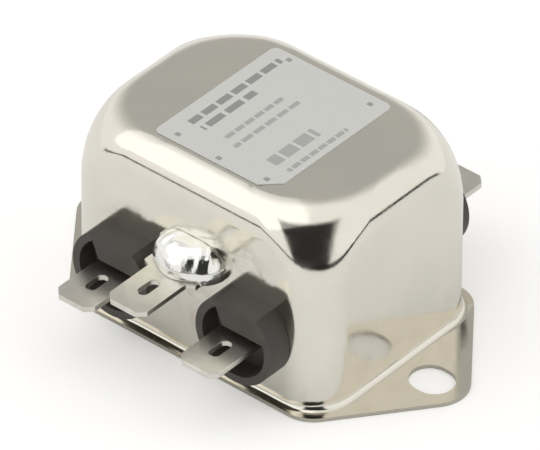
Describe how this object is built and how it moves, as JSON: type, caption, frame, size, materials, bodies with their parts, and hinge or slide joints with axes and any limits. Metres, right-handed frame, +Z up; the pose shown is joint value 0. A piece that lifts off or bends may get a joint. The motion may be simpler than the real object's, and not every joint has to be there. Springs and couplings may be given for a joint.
{
  "type": "mains line filter",
  "caption": "Chassis-mount mains filter: drawn nickel-plated can with slotted mounting ears, insulated blade terminals on both long sides and an earth blade soldered to the can.",
  "frame": {"origin": "midway between the two ear slots, on the underside plane that rests on the chassis", "axes": "+Z up out of the crown of the can, +X from one ear to the other along the can's length, -Y towards the line terminals and the earth blade, +Y towards the load terminals"},
  "size_m": [0.064, 0.0562, 0.0294],
  "materials": {
    "nickel_plated_can": "satin nickel plate on drawn steel",
    "fibre_board": "hard black fibre board",
    "label_stock": "matt printed label",
    "black_moulding": "satin black moulding",
    "plated_blade": "tin-plated brass strip",
    "solder": "bright solder",
    "potting_resin": "dark casting resin",
    "ferrite": "lacquered ferrite",
    "divider_fibre": "pale insulating strip",
    "enamelled_wire": "enamelled copper wire",
    "film_capacitor_shell": "moulded shell",
    "disc_lacquer": "lacquered ceramic disc",
    "resistor_lacquer": "lacquered ceramic rod",
    "hookup_wire": "insulated copper wire",
    "earth_hookup_wire": "insulated copper wire"
  },
  "bodies": {
    "root": {"case": "nickel_plated_can", "base_board": "fibre_board", "label": "label_stock", "line_insulator_live": "black_moulding", "line_insulator_neutral": "black_moulding", "load_insulator_live": "black_moulding", "load_insulator_neutral": "black_moulding", "line_tab_live": "plated_blade", "line_tab_neutral": "plated_blade", "load_tab_live": "plated_blade", "load_tab_neutral": "plated_blade", "earth_tab": "plated_blade", "earth_solder": "solder", "potting_compound": "potting_resin", "choke_core": "ferrite", "choke_divider": "divider_fibre", "winding_live": "enamelled_wire", "winding_neutral": "enamelled_wire", "film_capacitor": "film_capacitor_shell", "disc_capacitor_live": "disc_lacquer", "disc_capacitor_neutral": "disc_lacquer", "bleed_resistor": "resistor_lacquer", "film_link_live": "hookup_wire", "film_link_neutral": "hookup_wire", "disc_link_live": "hookup_wire", "disc_link_neutral": "hookup_wire", "disc_common_wire": "earth_hookup_wire", "earth_wire": "earth_hookup_wire"}
  },
  "joints": []
}
